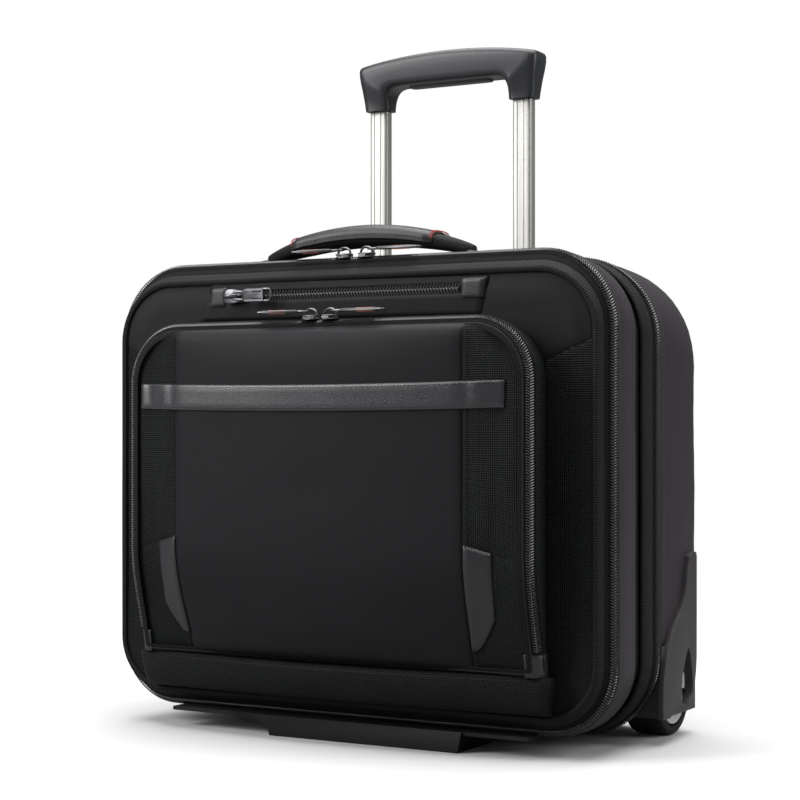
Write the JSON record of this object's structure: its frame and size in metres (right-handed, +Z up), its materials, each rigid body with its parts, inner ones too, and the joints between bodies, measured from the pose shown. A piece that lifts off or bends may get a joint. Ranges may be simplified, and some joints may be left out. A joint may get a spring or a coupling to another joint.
{
  "type": "rolling laptop case",
  "caption": "Black fabric rolling laptop case with a front organizer pocket, padded carry handle, telescoping trolley handle and two recessed corner wheels.",
  "frame": {"origin": "centre of the case's overall footprint, on the floor", "axes": "+Z up; the front pocket faces -Y; +X to the right of someone facing the front"},
  "size_m": [0.439, 0.2324, 0.545],
  "materials": {
    "smooth_fabric": "padded smooth nylon with a soft sheen",
    "woven_fabric": "matte ballistic weave",
    "piping_fabric": "ribbed webbing over cord",
    "leather": "fine grain, satin, dark grey",
    "zipper": "woven tape with dark coil teeth",
    "slider_metal": "gunmetal plating",
    "lining": "plain woven lining",
    "housing_plastic": "finely textured moulding",
    "grip_plastic": "satin moulding",
    "tube_aluminium": "brushed along its length",
    "tyre_rubber": "matte",
    "hub_plastic": "satin light grey moulding",
    "steel": "turned"
  },
  "bodies": {
    "case": {"rear_shell": "smooth_fabric", "main_zipper_rear_tape": "zipper", "trolley_cover_board": "lining", "trolley_channel_left": "tube_aluminium", "trolley_channel_right": "tube_aluminium", "trolley_bezel": "housing_plastic", "trolley_bottom_bracket": "housing_plastic", "wheel_housing_left": "housing_plastic", "wheel_housing_right": "housing_plastic", "axle_left": "steel", "axle_right": "steel"},
    "front_section": {"front_section_shell": "smooth_fabric", "section_piping": "piping_fabric", "main_zipper_front_tape": "zipper", "organizer_zipper_rear_tape": "zipper", "base_flange": "housing_plastic", "front_foot": "housing_plastic", "laptop_sleeve": "lining", "handle_anchor_left": "leather", "handle_anchor_right": "leather"},
    "front_panel": {"front_panel_board": "smooth_fabric", "front_panel_piping": "piping_fabric", "organizer_zipper_front_tape": "zipper", "upper_pocket_zipper": "zipper", "upper_zip_tab_left": "leather", "upper_zip_tab_right": "leather", "pocket_gusset": "woven_fabric", "pocket_zipper_rear_tape": "zipper", "bottom_padded_strip": "woven_fabric"},
    "pocket_flap": {"pocket_face": "smooth_fabric", "pocket_zipper_front_tape": "zipper", "leather_stripe": "leather", "pocket_corner_tab_left": "leather", "pocket_corner_tab_right": "leather"},
    "carry_handle": {"carry_handle_core": "piping_fabric", "carry_handle_sleeve": "leather"},
    "trolley_middle": {"trolley_middle_tube_left": "tube_aluminium", "trolley_middle_tube_right": "tube_aluminium"},
    "trolley_upper": {"trolley_upper_tube_left": "tube_aluminium", "trolley_upper_tube_right": "tube_aluminium", "trolley_grip": "grip_plastic"},
    "grip_button": {"grip_release_button": "housing_plastic"},
    "wheel_left": {"wheel_tyre_left": "tyre_rubber", "wheel_hub_left": "hub_plastic"},
    "wheel_right": {"wheel_tyre_right": "tyre_rubber", "wheel_hub_right": "hub_plastic"},
    "organizer_slider_left": {"organizer_slider_left": "slider_metal"},
    "organizer_pull_left": {"organizer_pull_left": "slider_metal"},
    "organizer_slider_right": {"organizer_slider_right": "slider_metal"},
    "organizer_pull_right": {"organizer_pull_right": "slider_metal"},
    "pocket_slider_left": {"pocket_slider_left": "slider_metal"},
    "pocket_pull_left": {"pocket_pull_left": "slider_metal"},
    "pocket_slider_right": {"pocket_slider_right": "slider_metal"},
    "pocket_pull_right": {"pocket_pull_right": "slider_metal"},
    "upper_pocket_slider": {"upper_pocket_slider": "slider_metal"},
    "upper_pocket_pull": {"upper_pocket_pull": "slider_metal"},
    "main_slider_left": {"main_slider_left": "slider_metal"},
    "main_pull_left": {"main_pull_left": "slider_metal"},
    "main_slider_right": {"main_slider_right": "slider_metal"},
    "main_pull_right": {"main_pull_right": "slider_metal"}
  },
  "joints": [
    {"name": "main_opening", "type": "hinge", "parent": "case", "child": "front_section", "pos_m": [0, 0.0232, 0.0062], "axis": [1, 0, 0], "range_deg": [0, 80]},
    {"name": "panel_opening", "type": "hinge", "parent": "front_section", "child": "front_panel", "pos_m": [0, -0.0703, 0.016], "axis": [1, 0, 0], "range_deg": [0, 35]},
    {"name": "pocket_opening", "type": "hinge", "parent": "front_panel", "child": "pocket_flap", "pos_m": [0, -0.0848, 0.0572], "axis": [1, 0, 0], "range_deg": [0, 20]},
    {"name": "carry_handle_tilt", "type": "hinge", "parent": "front_section", "child": "carry_handle", "pos_m": [0, -0.0283, 0.3668], "axis": [1, 0, 0], "range_deg": [-20, 20]},
    {"name": "trolley_lower_slide", "type": "slide", "parent": "case", "child": "trolley_middle", "axis": [0, 0, 1], "range_m": [0, 0.29]},
    {"name": "trolley_upper_slide", "type": "slide", "parent": "trolley_middle", "child": "trolley_upper", "axis": [0, 0, 1], "range_m": [-0.13, 0.14]},
    {"name": "grip_release", "type": "slide", "parent": "trolley_upper", "child": "grip_button", "axis": [0, 0, 1], "range_m": [0, 0.0045], "stiffness_N_per_m": 600, "springref_m": -0.002},
    {"name": "wheel_spin_left", "type": "hinge", "parent": "case", "child": "wheel_left", "pos_m": [-0.1895, 0.0837, 0.0325], "axis": [1, 0, 0], "continuous": true},
    {"name": "wheel_spin_right", "type": "hinge", "parent": "case", "child": "wheel_right", "pos_m": [0.1895, 0.0837, 0.0325], "axis": [1, 0, 0], "continuous": true},
    {"name": "organizer_slider_left_slide", "type": "slide", "parent": "front_section", "child": "organizer_slider_left", "axis": [-1, 0, 0], "range_m": [0, 0.13]},
    {"name": "organizer_pull_left_flip", "type": "hinge", "parent": "organizer_slider_left", "child": "organizer_pull_left", "pos_m": [-0.0105, -0.0543, 0.3693], "axis": [0, 1, 0], "range_deg": [0, 100]},
    {"name": "organizer_slider_right_slide", "type": "slide", "parent": "front_section", "child": "organizer_slider_right", "axis": [1, 0, 0], "range_m": [0, 0.13]},
    {"name": "organizer_pull_right_flip", "type": "hinge", "parent": "organizer_slider_right", "child": "organizer_pull_right", "pos_m": [0.017, -0.0543, 0.3693], "axis": [0, -1, 0], "range_deg": [0, 100]},
    {"name": "pocket_slider_left_slide", "type": "slide", "parent": "front_panel", "child": "pocket_slider_left", "axis": [-1, 0, 0], "range_m": [0, 0.1]},
    {"name": "pocket_pull_left_flip", "type": "hinge", "parent": "pocket_slider_left", "child": "pocket_pull_left", "pos_m": [-0.0115, -0.0998, 0.3208], "axis": [0, 1, 0], "range_deg": [0, 100]},
    {"name": "pocket_slider_right_slide", "type": "slide", "parent": "front_panel", "child": "pocket_slider_right", "axis": [1, 0, 0], "range_m": [0, 0.1]},
    {"name": "pocket_pull_right_flip", "type": "hinge", "parent": "pocket_slider_right", "child": "pocket_pull_right", "pos_m": [0.013, -0.0998, 0.3208], "axis": [0, -1, 0], "range_deg": [0, 100]},
    {"name": "upper_pocket_slider_slide", "type": "slide", "parent": "front_panel", "child": "upper_pocket_slider", "axis": [1, 0, 0], "range_m": [0, 0.175]},
    {"name": "upper_pocket_pull_flip", "type": "hinge", "parent": "upper_pocket_slider", "child": "upper_pocket_pull", "pos_m": [-0.09095, -0.07722, 0.336], "axis": [0, 0, -1], "range_deg": [0, 100]},
    {"name": "main_slider_left_slide", "type": "slide", "parent": "case", "child": "main_slider_left", "axis": [-1, 0, 0], "range_m": [0, 0.04]},
    {"name": "main_pull_left_flip", "type": "hinge", "parent": "main_slider_left", "child": "main_pull_left", "pos_m": [-0.1085, 0.0232, 0.3683], "axis": [0, 1, 0], "range_deg": [0, 100]},
    {"name": "main_slider_right_slide", "type": "slide", "parent": "case", "child": "main_slider_right", "axis": [1, 0, 0], "range_m": [0, 0.21]},
    {"name": "main_pull_right_flip", "type": "hinge", "parent": "main_slider_right", "child": "main_pull_right", "pos_m": [-0.0715, 0.0232, 0.3683], "axis": [0, -1, 0], "range_deg": [0, 100]}
  ]
}
